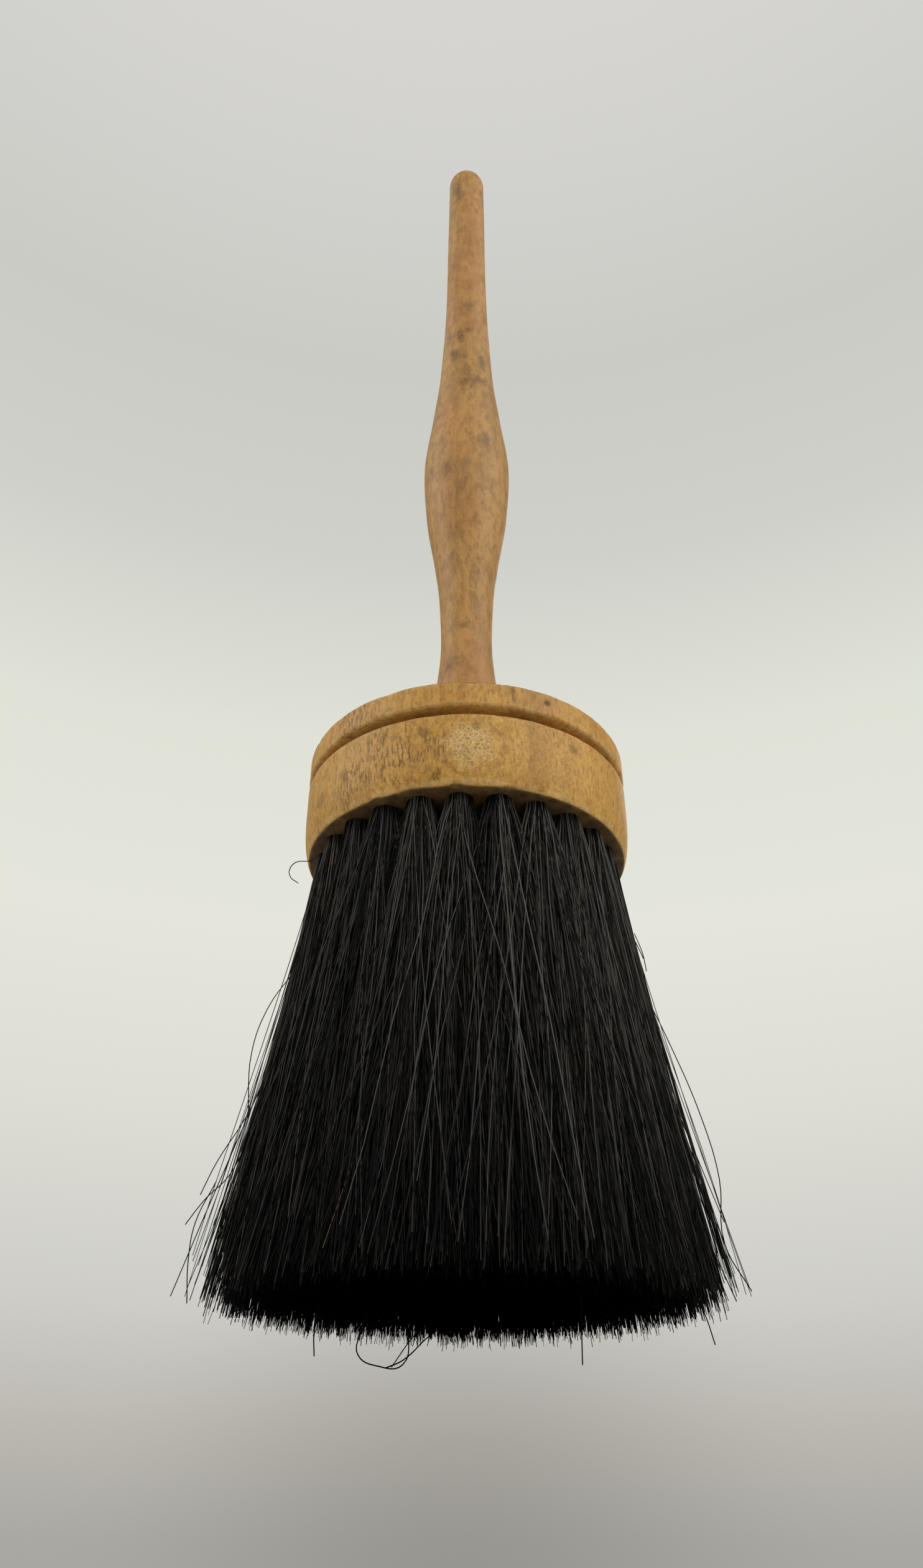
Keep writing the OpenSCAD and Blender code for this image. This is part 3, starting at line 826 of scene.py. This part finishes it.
for hair_points in strays:
    spline = loose.splines.new("BEZIER")
    spline.bezier_points.add(len(hair_points) - 1)
    for knot, at in zip(spline.bezier_points, hair_points):
        knot.co = Vector(at) * MM
        knot.handle_left_type = knot.handle_right_type = "AUTO"
maker = bpy.data.objects.new("maker", loose)
scene.collection.objects.link(maker)
stray_mesh = bpy.data.meshes.new_from_object(maker.evaluated_get(bpy.context.evaluated_depsgraph_get()))
bpy.data.objects.remove(maker)
stray_mesh.materials.clear()
stray_mesh.materials.append(black_hair)
for name, value in (("tone", 0.3), ("depth", 0.7)):
    kept = stray_mesh.attributes.new(name, "FLOAT", "POINT")
    kept.data.foreach_set("value", [value] * len(stray_mesh.vertices))
stray_mesh.shade_smooth()
stray_hairs = piece("stray_hairs", stray_mesh)
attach(stray_hairs, "root")

# ---- Floor, backdrop, light and camera -------------------------------------------------
# The brush stands on a pale floor. The camera looks up at it from below floor level, so the
# floor has no underside: from below, it is clear. Soft light comes from both sides.

floor_half, floor_z = 3, -0.0012
corners = [(x * floor_half, y * floor_half, floor_z) for x, y in ((-1, -1), (1, -1), (1, 1), (-1, 1))]
floor_mesh = bpy.data.meshes.new("floor")
floor_mesh.from_pydata(corners, [], [(0, 1, 2, 3)])
floor = piece("floor", floor_mesh)
floor_paint = bpy.data.materials.new("floor_paint")
floor_paint.use_nodes = True
paint = Socket(floor_paint.node_tree)
nodes = floor_paint.node_tree.nodes
nodes.remove(nodes["Principled BSDF"])
top = paint.add("ShaderNodeBsdfDiffuse", {}, {"Color": tint(205, 203, 198)})
under = paint.add("ShaderNodeBsdfTransparent")
faced = paint.add("ShaderNodeNewGeometry", out="Backfacing")
floor_shader = paint.add("ShaderNodeMixShader", {}, {0: faced, 1: top, 2: under})
floor_paint.node_tree.links.new(floor_shader.end, nodes["Material Output"].inputs["Surface"])
floor_mesh.materials.append(floor_paint)

scene.world = bpy.data.worlds.new("backdrop")
scene.world.use_nodes = True
sky = Socket(scene.world.node_tree)
way = sky.add("ShaderNodeTexCoord", out="Generated")
height = sky.add("ShaderNodeSeparateXYZ", {}, {0: way}, 2)
# The backdrop's shades from low to high, and a painted shadow low down behind the brush
shades = [
    (-0.1, (165, 163, 158)), (-0.012, (170, 168, 163)), (0.058, (187, 184, 177)), (0.144, (206, 205, 200)),
    (0.286, (221, 221, 213)), (0.432, (229, 229, 219)), (0.574, (224, 226, 215)), (0.698, (208, 208, 202)),
    (0.8, (203, 203, 198)), (0.92, (214, 213, 209)),
]
stops = [((at + 0.1) / 1.1, tint(*shade)) for at, shade in shades]
backdrop = sky.add("ShaderNodeValToRGB", {"stops": stops}, {0: (height + 0.1) / 1.1})
# Painted shadow: the backdrop darkens round this way, low down behind the brush.
painted_shadow_way = (-0.052, 0.998, -0.03)
low_centre = sky.add("ShaderNodeVectorMath", {"operation": "DISTANCE"}, {0: way, 1: painted_shadow_way}, "Value")
backdrop = sky.mix((1 - low_centre.ease(0.0, 0.3)) * 0.45, backdrop, tint(128, 125, 118))
# The camera sees it at full strength, and it lights the brush more weakly, mostly from above
seen = sky.add("ShaderNodeLightPath", out="Is Camera Ray")
strength = seen + (1 - seen) * (0.3 + 0.5 * height).maths("MAXIMUM", 0.12)
sky_light = sky.add("ShaderNodeBackground", {}, {"Color": backdrop, "Strength": strength})
nodes = scene.world.node_tree.nodes
scene.world.node_tree.links.new(sky_light.end, nodes["World Output"].inputs["Surface"])


def softbox(name, at, aim, wide, tall, power):
    """A soft rectangular light at a place, turned to its aim."""
    lamp = bpy.data.lights.new(name, "AREA")
    lamp.shape, lamp.size, lamp.size_y, lamp.energy = "RECTANGLE", wide, tall, power
    made = bpy.data.objects.new(name, lamp)
    made.location = at
    made.rotation_euler = (Vector(aim) - Vector(at)).to_track_quat("-Z", "Y").to_euler()
    scene.collection.objects.link(made)


softbox("left_light", (-0.48, -0.14, 0.46), (0, 0, 0.1), 0.4, 0.5, 2.0)
softbox("right_light", (0.4, -0.22, 0.42), (0, 0, 0.08), 0.4, 0.5, 2.0)
softbox("front_light", (0.05, -0.62, 0.6), (0, 0, 0.12), 0.6, 0.4, 1.0)
softbox("back_light", (0.1, 0.7, 0.5), (0, 0, 0.12), 0.5, 0.4, 2.0)

camera = bpy.data.objects.new("camera", bpy.data.cameras.new("camera"))
camera.location = (0.00836, -0.17751, -0.0255)
tilt = [Matrix.Rotation(math.radians(turn), 3, way) for turn, way in ((3, "Z"), (123.09, "X"), (0.16, "Z"))]
camera.rotation_euler = (tilt[0] @ tilt[1] @ tilt[2]).to_euler()
camera.data.sensor_width = 36
camera.data.lens = 26.0
camera.data.clip_start = 0.005
scene.collection.objects.link(camera)
scene.camera = camera
scene.view_settings.view_transform = "Standard"
